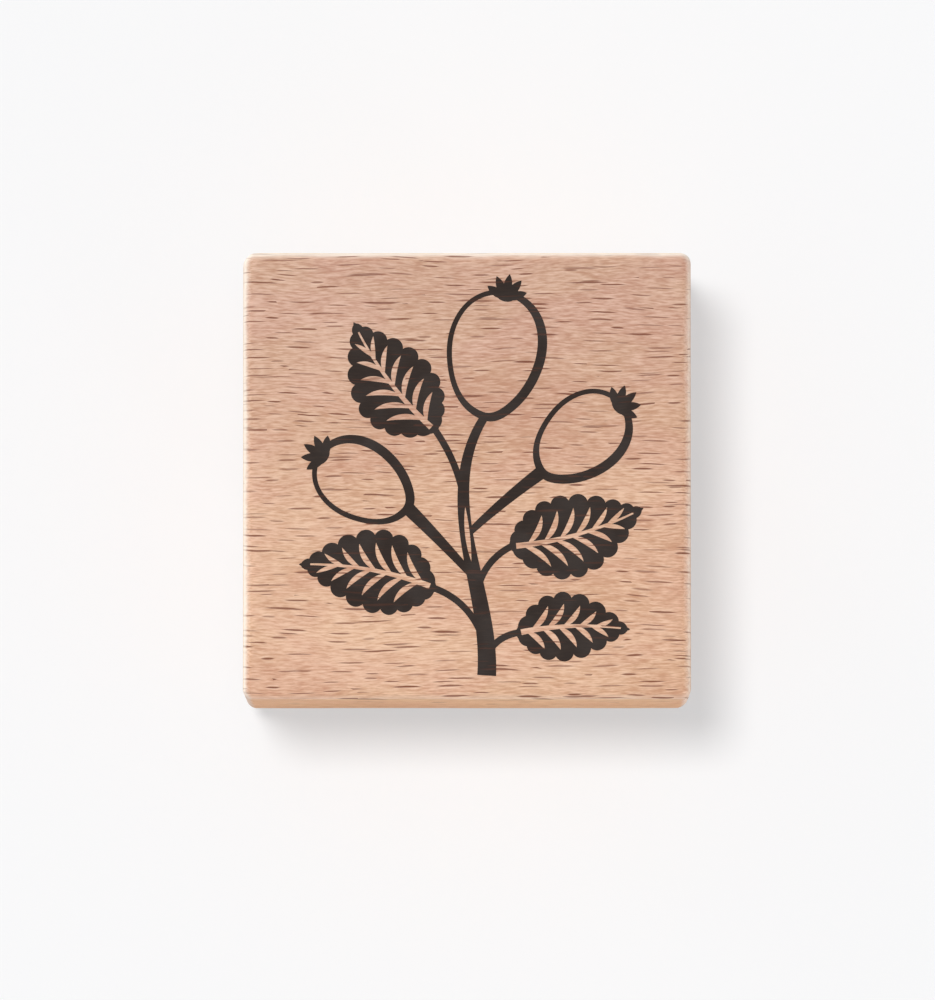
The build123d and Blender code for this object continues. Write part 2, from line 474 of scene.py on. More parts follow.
@dataclass(frozen=True)
class BeechFinish(Finish):
    """Bare beech, fine-sanded: pinkish tan with red-brown flecks, painted highlights round the flecks,
    painted shade on the long sides, and rounded edges paler partly from sanding and partly as painted
    highlight.
    """

    shade: Colour = screen_colour(192, 143, 115)
    light: Colour = screen_colour(238, 202, 176)
    sap: Colour = screen_colour(255, 250, 243)
    heart: Colour = screen_colour(239, 235, 237)
    rosy: Colour = screen_colour(218, 164, 143)
    honey: Colour = screen_colour(226, 188, 150)
    ray: Colour = screen_colour(112, 54, 30)
    # painted highlight beside the flecks
    rim: Colour = screen_colour(250, 218, 190)
    late_wood: Colour = screen_colour(190, 138, 106)
    pore: Colour = screen_colour(150, 104, 78)
    end_tint: Colour = screen_colour(238, 218, 198)
    # painted shade: the long sides darker and more orange, as a side turned from the light looks
    painted_side_shade: Colour = screen_colour(255, 240, 210)
    # pale edges: sanded wood, and partly a painted highlight where the edges face the light
    worn: Colour = screen_colour(253, 244, 230)
    fibre_light: float = 0.62  # shares of the figure in how light the wood is
    coarse_light: float = 0.12
    tone_light: float = 0.26
    contrast: tuple[float, float] = (0.34, 0.68)
    hue_range: tuple[float, float] = (0.35, 0.65)
    wear_grain: tuple[float, float, float] = (3.0, 0.5, 0.6)
    hue_share: float = 0.2
    ray_share: float = 0.92
    worn_and_lit_ray_share: float = 0.3
    side_ray_share: float = 0.3
    highlight_share: float = 0.2
    dash_share: float = 0.15
    ring_share: float = 0.1
    end_ring_share: float = 0.5
    pore_share: float = 0.35
    wear_share: float = 0.85
    shine: float = 0.25
    ray_depth: float = 0.02  # relief heights, in millimetres
    fibre_height: float = 0.009
    coarse_height: float = 0.006
    pore_depth: float = 0.02
    smooth: float = 0.5
    rough: float = 0.66

    def wire(self, graph: Graph, shader: bpy.types.bpy_prop_collection) -> None:
        """Colours the figure, face by face, paints shade on the long sides and highlights round the flecks,
        and pales the edges, for sanding and for painted highlight.
        """
        place = graph.place()
        figure = BeechFigure().on(graph, place=place)
        end_grain = graph.mark("end_grain")
        side_grain = graph.mark("side_grain")
        nearness = graph.mark("near_edge")
        wear = EdgeWear().on(graph, place=place, nearness=nearness, grain=self.wear_grain)

        light = graph.math("MULTIPLY", figure["Fibres"], self.fibre_light)
        light = graph.math("MULTIPLY_ADD", figure["Coarse"], self.coarse_light, light)
        light = graph.math("MULTIPLY_ADD", figure["Tone"], self.tone_light, light)
        colour = graph.blend(graph.between(light, *self.contrast), self.shade, self.light)
        hue = graph.between(figure["Hue"], *self.hue_range)
        colour = graph.blend(self.hue_share, colour, graph.blend(hue, self.rosy, self.honey))
        age = graph.blend(figure["Sapwood"], self.heart, self.sap)
        colour = graph.blend(1.0, colour, age, "MULTIPLY")

        ring_share = graph.between(end_grain, 0.0, 1.0, self.ring_share, self.end_ring_share)
        colour = graph.blend(graph.math("MULTIPLY", figure["Rings"], ring_share), colour, self.late_wood)
        colour = graph.blend(graph.math("MULTIPLY", figure["Dashes"], self.dash_share), colour, self.ray)
        # painted highlight: pale rims beside the flecks, where light would catch the edges of their dips
        colour = graph.blend(graph.math("MULTIPLY", figure["Painted Highlights"], self.highlight_share), colour, self.rim)
        open_pores = graph.math("MULTIPLY", figure["Pores"], end_grain)
        colour = graph.blend(graph.math("MULTIPLY", open_pores, self.pore_share), colour, self.pore)
        # pales the edges for sanding and, most on the left and far edges, as a painted highlight
        colour = graph.blend(graph.math("MULTIPLY", wear["Wear"], self.wear_share), colour, self.worn)
        off_top = graph.math("MAXIMUM", end_grain, side_grain)
        ray_share = graph.between(off_top, 0.0, 1.0, self.ray_share, self.side_ray_share)
        # the flecks fade into the pale edges, worn and washed out by the painted highlight
        ray_share = graph.between(wear["Wear"], 0.0, 1.0, ray_share, self.worn_and_lit_ray_share)
        colour = graph.blend(graph.math("MULTIPLY", figure["Rays"], ray_share), colour, self.ray)
        colour = graph.blend(end_grain, colour, graph.blend(1.0, colour, self.end_tint, "MULTIPLY"))
        # painted shade on the long sides
        colour = graph.blend(side_grain, colour, graph.blend(1.0, colour, self.painted_side_shade, "MULTIPLY"))
        graph.feed(shader["Base Color"], colour)

        graph.feed(shader["Roughness"], graph.between(figure["Fibres"], 0.3, 0.7, self.rough, self.smooth))
        graph.feed(shader["Specular IOR Level"], self.shine)

        height = graph.math("MULTIPLY", figure["Rays"], -self.ray_depth)
        height = graph.math("MULTIPLY_ADD", figure["Fibres"], self.fibre_height, height)
        height = graph.math("MULTIPLY_ADD", figure["Coarse"], self.coarse_height, height)
        height = graph.math("MULTIPLY_ADD", open_pores, -self.pore_depth, height)
        graph.feed(shader["Normal"], graph.bump(height))


@dataclass(frozen=True)
class InkFinish(Finish):
    """Dried dark brown printing ink: matt, thin, with the wood's grain just showing through."""

    ink: Colour = screen_colour(39, 29, 24)
    thin_ink: Colour = screen_colour(54, 41, 33)
    over_ray: Colour = screen_colour(76, 44, 31)
    thin_share: float = 0.55
    ray_share: float = 0.6
    ray_depth: float = 0.012
    grain_height: float = 0.004
    rough: float = 0.7
    smooth: float = 0.56
    shine: float = 0.16

    def wire(self, graph: Graph, shader: bpy.types.bpy_prop_collection) -> None:
        """Thins the ink where the wood under it stands high, and browns it over the rays."""
        place = graph.place()
        figure = BeechFigure().on(graph, place=place)
        fine = FineGrain().on(graph, place=place, cell_size=0.12, cloud_size=5.0)
        thin = graph.math("MULTIPLY", graph.between(figure["Fibres"], 0.4, 0.8), self.thin_share)
        colour = graph.blend(thin, self.ink, self.thin_ink)
        colour = graph.blend(graph.math("MULTIPLY", figure["Rays"], self.ray_share), colour, self.over_ray)
        graph.feed(shader["Base Color"], colour)
        graph.feed(shader["Roughness"], graph.between(fine["Clouds"], 0.35, 0.65, self.smooth, self.rough))
        graph.feed(shader["Specular IOR Level"], self.shine)
        dips = graph.math("MULTIPLY", figure["Rays"], -self.ray_depth)
        grain = graph.math("MULTIPLY", figure["Fibres"], self.grain_height)
        graph.feed(shader["Normal"], graph.bump(graph.math("ADD", dips, grain)))


@dataclass(frozen=True)
class FoamFinish(Finish):
    """Pale grey closed-cell foam. The knife has opened the cells at its edge."""

    skin: Colour = screen_colour(205, 204, 199)
    # painted shade in the hollows of the open cells
    painted_cell_shade: Colour = screen_colour(158, 156, 151)
    dust: Colour = screen_colour(222, 220, 214)
    cell_size: float = 0.24  # sizes in millimetres
    cell_depth: float = 0.03
    speck_height: float = 0.012
    rough: float = 0.86
    smooth: float = 0.74

    def wire(self, graph: Graph, shader: bpy.types.bpy_prop_collection) -> None:
        """Paints shade into the open cells and pales the walls between them."""
        place = graph.place()
        fine = FineGrain().on(graph, place=place, cell_size=self.cell_size, cloud_size=4.0)
        colour = graph.blend(fine["Cells"], self.painted_cell_shade, self.skin)
        colour = graph.blend(graph.between(fine["Clouds"], 0.4, 0.75, 0.0, 0.5), colour, self.dust)
        graph.feed(shader["Base Color"], colour)
        graph.feed(shader["Roughness"], graph.between(fine["Cells"], 0.0, 1.0, self.rough, self.smooth))
        walls = graph.math("MULTIPLY", fine["Cells"], self.cell_depth)
        specks = graph.math("MULTIPLY", fine["Specks"], self.speck_height)
        graph.feed(shader["Normal"], graph.bump(graph.math("ADD", walls, specks)))


@dataclass(frozen=True)
class FilmFinish(Finish):
    """Clear double-sided adhesive film, milky at its cut edge, with dust caught in the glue."""

    film: Colour = screen_colour(214, 205, 178)
    cloudy: Colour = screen_colour(232, 227, 210)
    dust: Colour = screen_colour(150, 138, 118)
    dust_share: float = 0.35
    rough: float = 0.5
    smooth: float = 0.28
    glue_height: float = 0.01

    def wire(self, graph: Graph, shader: bpy.types.bpy_prop_collection) -> None:
        """Clouds the film slowly along its edge and adds specks of dust."""
        place = graph.place()
        fine = FineGrain().on(graph, place=place, cell_size=0.2, cloud_size=2.5)
        colour = graph.blend(graph.between(fine["Clouds"], 0.35, 0.7), self.film, self.cloudy)
        colour = graph.blend(graph.math("MULTIPLY", fine["Specks"], self.dust_share), colour, self.dust)
        graph.feed(shader["Base Color"], colour)
        graph.feed(shader["Roughness"], graph.between(fine["Clouds"], 0.3, 0.7, self.smooth, self.rough))
        graph.feed(shader["Normal"], graph.bump(graph.math("MULTIPLY", fine["Cells"], self.glue_height)))


@dataclass(frozen=True)
class RubberFinish(Finish):
    """Red stamp rubber, engraved by laser: satin on the printing face, scored and dusty below it."""

    face: Colour = screen_colour(158, 62, 50)
    deep: Colour = screen_colour(128, 46, 38)
    dusty: Colour = screen_colour(186, 110, 96)
    worn: Colour = screen_colour(176, 92, 78)
    dust_share: float = 0.4
    wear_share: float = 0.4
    speck_size: float = 0.16
    score_pitch: float = 0.13  # distance between two passes of the laser
    score_depth: float = 0.02
    speck_height: float = 0.012
    face_rough: float = 0.52
    deep_rough: float = 0.8
    wear_grain: tuple[float, float, float] = (0.8, 0.8, 0.8)
    wear_breakup: float = 0.6

    def wire(self, graph: Graph, shader: bpy.types.bpy_prop_collection) -> None:
        """Scores the engraved ground in lines along X, and leaves the printing face plain."""
        place = graph.place()
        engraved = graph.mark("engraved")
        fine = FineGrain().on(graph, place=place, cell_size=self.speck_size, cloud_size=7.0)
        nearness = graph.mark("near_edge")
        wear = EdgeWear().on(
            graph, place=place, nearness=nearness, grain=self.wear_grain, breakup=self.wear_breakup
        )

        _, y, _ = graph.split(place)
        turn = graph.math("MULTIPLY", y, 2 * math.pi / self.score_pitch)
        passes = graph.math("MULTIPLY", graph.math("SINE", turn), engraved)

        colour = graph.blend(graph.between(fine["Clouds"], 0.35, 0.7), self.face, self.deep)
        dust = graph.math("MULTIPLY", graph.math("MULTIPLY", fine["Specks"], engraved), self.dust_share)
        colour = graph.blend(dust, colour, self.dusty)
        colour = graph.blend(graph.math("MULTIPLY", wear["Wear"], self.wear_share), colour, self.worn)
        graph.feed(shader["Base Color"], colour)
        graph.feed(shader["Roughness"], graph.between(engraved, 0.0, 1.0, self.face_rough, self.deep_rough))
        scores = graph.math("MULTIPLY", passes, self.score_depth / 2)
        specks = graph.math("MULTIPLY", fine["Specks"], self.speck_height)
        graph.feed(shader["Normal"], graph.bump(graph.math("ADD", scores, specks)))


# ------------------------------------------------------------------------------ outlines and meshes


class Outline:
    """Closed loops in a level plane, as arrays of X and Y in metres. An outer loop turns left."""

    same_level: ClassVar[float] = 0.004 * MM

    @classmethod
    def loops(cls, node: str, level: float) -> list[np.ndarray]:
        """Reads the borders of a CAD node's level faces at one height.

        Args:
            node: The CAD node.
            level: The height of the faces.

        Returns:
            The loops, the one round the largest area first.
        """
        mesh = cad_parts[node].data
        spots = np.array([v.co for v in mesh.vertices])
        keys = [tuple(spot) for spot in np.round(spots / (MM * 1e-4)).astype(int)]
        flat = np.abs(spots[:, 2] - level) < cls.same_level
        edges = set()
        for face in mesh.polygons:
            corners = list(face.vertices)
            if all(flat[c] for c in corners):
                edges |= {(keys[a], keys[b]) for a, b in zip(corners, corners[1:] + corners[:1])}
        after = {a: b for a, b in edges if (b, a) not in edges}
        found = []
        while after:
            start, here = after.popitem()
            loop = [start]
            while here != start:
                loop.append(here)
                here = after.pop(here)
            found.append(np.array(loop, float)[:, :2] * (MM * 1e-4))
        found.sort(key=lambda loop: -abs(cls.area(loop)))
        outer = math.copysign(1.0, cls.area(found[0]))
        return [loop if outer > 0 else loop[::-1] for loop in found]

    @staticmethod
    def area(loop: np.ndarray) -> float:
        """Returns the area inside a loop, positive where it turns left."""
        following = np.roll(loop, -1, axis=0)
        return float(np.sum(loop[:, 0] * following[:, 1] - following[:, 0] * loop[:, 1]) / 2)

    @staticmethod
    def evenly(loop: np.ndarray, step: float) -> np.ndarray:
        """Returns points spaced about a step apart along a loop."""
        closed = np.vstack([loop, loop[:1]])
        run = np.concatenate([[0], np.cumsum(np.linalg.norm(np.diff(closed, axis=0), axis=1))])
        stations = np.linspace(0, run[-1], max(8, round(run[-1] / step)), endpoint=False)
        return np.column_stack([np.interp(stations, run, closed[:, axis]) for axis in (0, 1)])

    @staticmethod
    def divided(loop: np.ndarray, step: float) -> np.ndarray:
        """Returns a loop with its long sides divided, so that none is longer than a step."""
        points = []
        for start, finish in zip(loop, np.roll(loop, -1, axis=0)):
            parts = max(1, math.ceil(np.linalg.norm(finish - start) / step))
            points += [start + (finish - start) * part / parts for part in range(parts)]
        return np.array(points)

    @staticmethod
    def outward(loop: np.ndarray) -> np.ndarray:
        """Returns the unit vector that points out of an outer loop, at each of its points."""
        ahead = np.roll(loop, -1, axis=0) - np.roll(loop, 1, axis=0)
        ahead /= np.maximum(np.linalg.norm(ahead, axis=1, keepdims=True), 1e-9)
        return np.column_stack([ahead[:, 1], -ahead[:, 0]])

    @staticmethod
    def distance(points: np.ndarray, loops: list[np.ndarray]) -> np.ndarray:
        """Returns each point's distance to the nearest loop."""
        starts = np.vstack(loops)
        runs = np.vstack([np.roll(loop, -1, axis=0) - loop for loop in loops])
        squares = np.maximum(np.sum(runs * runs, axis=1), 1e-18)
        nearest = []
        for chunk in np.array_split(points, max(1, len(points) // 500)):
            apart = chunk[:, None] - starts
            share = np.clip(np.sum(apart * runs, axis=2) / squares, 0, 1)
            nearest.append(np.linalg.norm(apart - share[:, :, None] * runs, axis=2).min(axis=1))
        return np.concatenate(nearest)

    @staticmethod
    def inside(points: np.ndarray, loops: list[np.ndarray]) -> np.ndarray:
        """Returns whether each point is inside the loops, with the inner loops left out."""
        crossings = np.zeros(len(points), int)
        for loop in loops:
            for (x0, y0), (x1, y1) in zip(loop, np.roll(loop, -1, axis=0)):
                if y0 == y1:
                    continue
                level = (points[:, 1] >= min(y0, y1)) & (points[:, 1] < max(y0, y1))
                x = x0 + (points[:, 1] - y0) * (x1 - x0) / (y1 - y0)
                crossings += level & (points[:, 0] < x)
        return crossings % 2 == 1


def solid_piece(
    name: str, mesh: bmesh.types.BMesh, marks: dict[str, np.ndarray] | None = None
) -> bpy.types.Object:
    """Turns a finished mesh into a smooth-shaded object in the scene.

    Args:
        name: The piece's name.
        mesh: The mesh, which is freed.
        marks: Numbers from 0 to 1 for each vertex, by attribute name, for the finish to read.

    Returns:
        The object.
    """
    data = bpy.data.meshes.new(name)
    mesh.to_mesh(data)
    mesh.free()
    data.shade_smooth()
    for mark, numbers in (marks or {}).items():
        attribute = data.attributes.new(mark, "FLOAT", "POINT")
        attribute.data.foreach_set("value", np.asarray(numbers, np.float32))
    piece = bpy.data.objects.new(name, data)
    bpy.context.scene.collection.objects.link(piece)
    return piece


def smooth_step(value: np.ndarray, low: float, high: float) -> np.ndarray:
    """Returns 0 up to low, 1 from high on, and a smooth rise between them."""
    share = np.clip((value - low) / (high - low), 0, 1)
    return share * share * (3 - 2 * share)


def rough_at(spot: np.ndarray, grain: tuple[float, float, float]) -> float:
    """Returns smooth noise from about -1 to 1 at a place, with a grain size for each axis, in metres."""
    return noise.fractal(Vector(spot / np.array(grain)), 0.9, 2.0, 2)


# ------------------------------------------------------------------------------------- the pieces


@dataclass
class Part(ABC):
    """One piece of the stamp: what it is called, what it stands for and how it is finished."""

    name: str
    node: str
    body: Body
    slot: Slot
    finish: Finish

    def make(self) -> bpy.types.Object:
        """Builds the piece, dresses it and fixes it to its body.

        Returns:
            The piece.
        """
        piece = self.build()
        piece.data.materials.clear()
        piece.data.materials.append(self.finish.material(self.name))
        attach(piece, self.body.value)
        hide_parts(self.node)
        log.info("%s: %d faces on %s", self.name, len(piece.data.polygons), self.body.value)
        return piece

    @abstractmethod
    def build(self) -> bpy.types.Object:
        """Builds the piece's mesh in its place."""


@dataclass
class BeechBlock(Part):
    """The block: flat faces, rounded and slightly uneven sanded edges, all of it inside the CAD box."""

    side_radius: float = 1.3 * MM  # of the round-overs, across and up
    rise_radius: float = 1.1 * MM
    radius_change: float = 0.24  # share by which the radius wanders
    radius_grain: tuple[float, float, float] = (9 * MM, 9 * MM, 9 * MM)
    turn_steps: int = 6  # rows over half of a round-over
    spacing: tuple[float, float, float] = (0.62 * MM, 0.22 * MM, 0.62 * MM)  # between rows on the flats
    dent_depth: float = 0.1 * MM
    dent_grain: tuple[float, float, float] = (2.6 * MM, 0.34 * MM, 1.6 * MM)
    wear_turn: tuple[float, float] = (-0.01, 0.6)  # how far a round-over has turned where the wear starts
    wear_fade: tuple[float, float] = (1.1 * MM, 2.6 * MM)  # how far down a side the wear goes
    wear_and_highlight_left: float = 1.0  # strength of the wear and of the painted highlight along each edge of the top and bottom: most on the left and far edges, which face the light
    wear_and_highlight_right: float = 0.5
    wear_and_highlight_far: float = 0.85
    wear_and_highlight_near: float = 0.2
    wear_corner: float = 0.45
    side_turn: tuple[float, float] = (0.9, 0.995)  # share turned to a side, from where its own colour shows

    def rows(self, half: float, radius: float, spacing: float) -> np.ndarray:
        """Returns the places of the rows along one axis, close together over the round-overs."""
        turns = np.linspace(math.pi / 4, 0, self.turn_steps, endpoint=False)
        over = half - radius + radius * np.tan(turns)
        flat = half - radius * (1 + self.radius_change)
        middle = np.linspace(-flat, flat, max(2, round(2 * flat / spacing)))
        return np.concatenate([-over, middle, over[::-1]])

    def build(self) -> bpy.types.Object:
        """Maps the grids on the six sides of a box to a box with rounded edges."""
        low, high = (np.array(corner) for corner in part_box(self.node))
        middle, half = (low + high) / 2, (high - low) / 2
        radii = np.array([self.side_radius, self.side_radius, self.rise_radius])
        rows = [self.rows(*sizes) for sizes in zip(half, radii, self.spacing)]
        mesh = bmesh.new()
        for axis in range(3):
            u, v = (axis + 1) % 3, (axis + 2) % 3
            for hand in (-1, 1):
                grid = []
                for a in rows[u]:
                    spots = np.zeros((len(rows[v]), 3))
                    spots[:, axis], spots[:, u], spots[:, v] = hand * half[axis], a, rows[v]
                    grid.append([mesh.verts.new(spot) for spot in spots])
                for first, second in zip(grid, grid[1:]):
                    for (a, b), (d, c) in zip(zip(first, first[1:]), zip(second, second[1:])):
                        mesh.faces.new((a, d, c, b) if hand > 0 else (a, b, c, d))
        bmesh.ops.remove_doubles(mesh, verts=mesh.verts, dist=1e-8)
        mesh.verts.ensure_lookup_table()

        spots = np.array([v.co for v in mesh.verts])
        change = np.array([rough_at(spot, self.radius_grain) for spot in spots])
        reach = radii * (1 + self.radius_change * np.clip(change, -1, 1))[:, None]
        core = np.clip(spots, reach - half, half - reach)
        facing = (spots - core) / reach
        facing /= np.linalg.norm(facing, axis=1, keepdims=True)
        rounded = core + facing * reach
        turned = (1 - np.abs(facing).max(axis=1)) / (1 - math.sqrt(0.5))
        for vert, spot, out, share in zip(mesh.verts, rounded, facing, turned):
            dent = self.dent_depth * max(0.0, rough_at(spot, self.dent_grain)) * min(1.0, share)
            vert.co = spot + middle - out * dent

        marks = {
            "near_edge": self.wear(facing, half[2] - np.abs(rounded[:, 2]), turned),
            "end_grain": smooth_step(np.abs(facing[:, 0]), *self.side_turn),
            "side_grain": smooth_step(np.abs(facing[:, 1]), *self.side_turn),
        }
        return solid_piece(self.name, mesh, marks)

    def wear(self, facing: np.ndarray, down: np.ndarray, turned: np.ndarray) -> np.ndarray:
        """Returns how worn each point of the surface is, with a painted highlight that is stronger on the
        edges facing the light.

        Args:
            facing: The way that the surface faces at each point.
            down: How far the point is below the top, or above the bottom.
            turned: How far the surface has turned between two faces, from 0 to 1.

        Returns:
            The wear and painted highlight, from 0 to 1.
        """
        side = np.abs(facing[:, :2])
        strength_x = np.where(facing[:, 0] < 0, self.wear_and_highlight_left, self.wear_and_highlight_right)
        strength_y = np.where(facing[:, 1] > 0, self.wear_and_highlight_far, self.wear_and_highlight_near)
        strength = (side[:, 0] * strength_x + side[:, 1] * strength_y) / np.maximum(side.sum(axis=1), 1e-6)
        rim = smooth_step(1 - np.abs(facing[:, 2]), *self.wear_turn)
        rim *= 1 - smooth_step(down, *self.wear_fade)
        corner = self.wear_corner * turned * (1 - np.abs(facing[:, 2]))
        return np.maximum(rim * strength, np.clip(corner, 0, 1))


@dataclass
class Slab(Part):
    """A flat piece cut along the outline of its CAD node, with a cut wall of its own."""

    step: float = 0.5 * MM  # between points along the outline
    rows: int = 2
    wander: float = 0.05 * MM  # how far in the cut strays
    wander_grain: float = 5 * MM

    def wall_inset(self, spot: np.ndarray, share: float) -> float:
        """Returns how far in from the outline a point of the wall stands.

        Args:
            spot: The point's place on the outline.
            share: Its height, from 0 at the bottom to 1 at the top.

        Returns:
            The distance in metres.
        """
        return self.wander * (0.5 + 0.5 * rough_at(spot, (self.wander_grain,) * 3))

    def build(self) -> bpy.types.Object:
        """Raises a wall of rows along the outline and closes it at both ends."""
        low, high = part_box(self.node)
        loop = Outline.evenly(Outline.loops(self.node, high.z)[0], self.step)
        outward = Outline.outward(loop)
        mesh = bmesh.new()
        rings = []
        for row in range(self.rows):
            share = row / (self.rows - 1)
            level = low.z + share * (high.z - low.z)
            ring = []
            for point, out in zip(loop, outward):
                inset = max(0.0, self.wall_inset(np.array([*point, level]), share))
                ring.append(mesh.verts.new((*(point - out * inset), level)))
            rings.append(ring)
        for lower, upper in zip(rings, rings[1:]):
            for i, corner in enumerate(lower):
                following = (i + 1) % len(lower)
                mesh.faces.new((corner, lower[following], upper[following], upper[i]))
        mesh.faces.new(rings[0][::-1])
        mesh.faces.new(rings[-1])
        for ring in (rings[0], rings[-1]):
            for a, b in zip(ring, ring[1:] + ring[:1]):
                mesh.edges.get((a, b)).smooth = False
        return solid_piece(self.name, mesh)


@dataclass
class FoamCushion(Slab):
    """The cushion: a slab of foam whose knife-cut wall draws in a little and shows its cells."""

    step: float = 0.14 * MM
    rows: int = 22
    waist: float = 0.16 * MM  # how far the wall draws in at half height
    cell: float = 0.2 * MM
    cell_depth: float = 0.05 * MM

    def wall_inset(self, spot: np.ndarray, share: float) -> float:
        """Adds the drawn-in waist and the opened cells to the strayed cut."""
        inset = super().wall_inset(spot, share) + self.waist * math.sin(math.pi * share)
        open_cells = 0.5 + 0.5 * rough_at(spot, (self.cell,) * 3)
        return inset + self.cell_depth * open_cells * min(1.0, 8 * share, 8 * (1 - share))

    def make(self) -> bpy.types.Object:
        """Makes the cushion, and gives it a mesh of its own."""
        piece = super().make()
        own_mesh(piece)
        return piece


@dataclass
class EngravedDie(Part):
    """The die: the design stands on sloped shoulders above an engraved ground, trimmed round."""

    loop_step: float = 0.26 * MM
    trim_step: float = 0.5 * MM
    ground_step: float = 1.3 * MM
    shoulder: float = 0.5 * MM  # how far out the slope reaches
    shoulder_rows: tuple[float, ...] = (0.06 * MM, 0.13 * MM, 0.22 * MM)
    slope_step: float = 0.2 * MM  # between points on the rest of the slope
    slope_end: float = 0.68 * MM
    steepness: float = 2.2
    kept_share: float = 0.93  # of its own distance, for a slope point that no other edge crowds
    trim_wander: float = 0.06 * MM
    wall_lean: float = 0.1 * MM  # how far the trimmed wall leans in towards the ground
    wear_reach: float = 0.3 * MM

    def depth(self, distance: np.ndarray, ground: float) -> np.ndarray:
        """Returns how deep the engraving is at a distance from the design's edge."""
        left = 1 - np.clip(distance / self.shoulder, 0, 1)
        return ground * (1 - left**self.steepness)

    def build(self) -> bpy.types.Object:
        """Triangulates the design, its slopes and the ground, and closes them with wall and back."""
        low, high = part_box(self.node)
        ground_height = self.ground_level(low.z, high.z)
        design = [Outline.divided(loop, self.loop_step) for loop in Outline.loops(self.node, low.z)]
        trim = Outline.evenly(Outline.loops(self.node, high.z)[0], self.trim_step)
        spots, joined = self.underside_points(design, trim)

        ends = np.cumsum([len(loop) for loop in design])
        is_edge = np.arange(len(spots)) < ends[-1]
        distance = np.where(is_edge, 0.0, Outline.distance(spots, design))
        printing = is_edge | Outline.inside(spots, design)
        depth = np.where(printing, 0.0, self.depth(distance, ground_height - low.z))

        points, _, faces, sources, _, _ = delaunay_2d_cdt(
            [Vector(spot / MM) for spot in spots], joined, [], 0, 1e-6
        )
        mesh = bmesh.new()
        heights = [max(depth[s] for s in source) if source else 0.0 for source in sources]
        verts = [mesh.verts.new((p.x * MM, p.y * MM, low.z + h)) for p, h in zip(points, heights)]
        for face in faces:
            mesh.faces.new([verts[corner] for corner in face][::-1])
        place_of = {source: number for number, group in enumerate(sources) for source in group}
        rim = [verts[place_of[i]] for i in range(len(spots) - len(trim), len(spots))]
        self.close(mesh, rim, trim, high.z)
        for start, finish in joined:
            edge = mesh.edges.get((verts[place_of[start]], verts[place_of[finish]]))
            if edge:
                edge.smooth = False

        mesh.verts.index_update()
        placed = np.array([v.co for v in mesh.verts])
        nearness = Outline.distance(placed[:, :2], design)
        marks = {
            "engraved": smooth_step(placed[:, 2], 0.02 * MM, 0.3 * MM),
            "near_edge": 1 - smooth_step(nearness, 0.0, self.wear_reach),
        }
        return solid_piece(self.name, mesh, marks)

    def ground_level(self, low: float, high: float) -> float:
        """Returns the height of the engraved ground: the commonest height between the two faces."""
        heights = np.array([v.co.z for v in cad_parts[self.node].data.vertices])
        between = heights[(heights > low + 0.05 * MM) & (heights < high - 0.05 * MM)]
        return float(np.median(between))

    def underside_points(self, design: list[np.ndarray], trim: np.ndarray) -> tuple[np.ndarray, list]:
        """Gathers the points of the underside, seen from above.

        Args:
            design: The borders of the printing face.
            trim: The outline that the rubber is cut out along.

        Returns:
            The points, the borders' first and the trim's last, and the pairs joined by an edge.
        """
        joined, count = [], 0
        for loop in design:
            joined += [(count + i, count + (i + 1) % len(loop)) for i in range(len(loop))]
            count += len(loop)
        slopes = []
        for loop in design:
            outward = Outline.outward(loop)
            for reach in self.shoulder_rows:
                row = loop + outward * reach
                clear = Outline.distance(row, design) > self.kept_share * reach
                slopes.append(row[clear])
        ground = self.scatter(trim, self.ground_step)
        ground = ground[Outline.distance(ground, design) > self.slope_end + self.ground_step / 2]
        slope = self.scatter(trim, self.slope_step)
        gap = Outline.distance(slope, design)
        slopes.append(slope[(gap > self.shoulder_rows[-1] + self.slope_step / 2) & (gap < self.slope_end)])
        slopes = [slope[~Outline.inside(slope, design)] for slope in slopes]
        ground = ground[~Outline.inside(ground, design)]
        return np.vstack([*design, *slopes, ground, trim]), joined

    @staticmethod
    def scatter(trim: np.ndarray, step: float) -> np.ndarray:
        """Returns points in staggered rows, a step apart, inside the outline and clear of it."""
        low, high = trim.min(axis=0), trim.max(axis=0)
        xs, ys = (np.arange(low[axis], high[axis], step) for axis in (0, 1))
        points = np.array([(x + (i % 2) * step / 2, y) for i, y in enumerate(ys) for x in xs])
        points = points[Outline.inside(points, [trim])]
        return points[Outline.distance(points, [trim]) > step / 2]

    def close(self, mesh: bmesh.types.BMesh, rim: list, trim: np.ndarray, top: float) -> None:
        """Adds the trimmed wall and the flat back.

        Args:
            mesh: The mesh that holds the underside.
            rim: The underside's outer vertices.
            trim: The outline that they stand on.
            top: The height of the back.
        """
        outward = Outline.outward(trim)
        back = []
        for vert, point, out in zip(rim, trim, outward):
            stray = self.trim_wander * (0.5 + 0.5 * rough_at(np.array([*point, 0.0]), (6 * MM,) * 3))
            vert.co.xy = point - out * (stray + self.wall_lean)
            back.append(mesh.verts.new((*(point - out * stray), top)))
        for i in range(len(rim)):
            following = (i + 1) % len(rim)
            mesh.faces.new((rim[i], rim[following], back[following], back[i]))
        mesh.faces.new(back)
        for ring in (rim, back):
            for a, b in zip(ring, ring[1:] + ring[:1]):
                mesh.edges.get((a, b)).smooth = False


@dataclass
class PrintedDesign:
    """The design on the block's top face. Its CAD node stays, and takes the ink's finish."""

    node: str
    finish: Finish

    def make(self) -> bpy.types.Object:
        """Dresses the CAD node.

        Returns:
            The node.
        """
        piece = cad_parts[self.node]
        ink = self.finish.material(self.node)
        for number in range(len(piece.material_slots)):
            piece.material_slots[number].material = ink
        log.info("%s: finished as the CAD node", self.node)
        return piece


# ------------------------------------------------------------------------------------- the studio


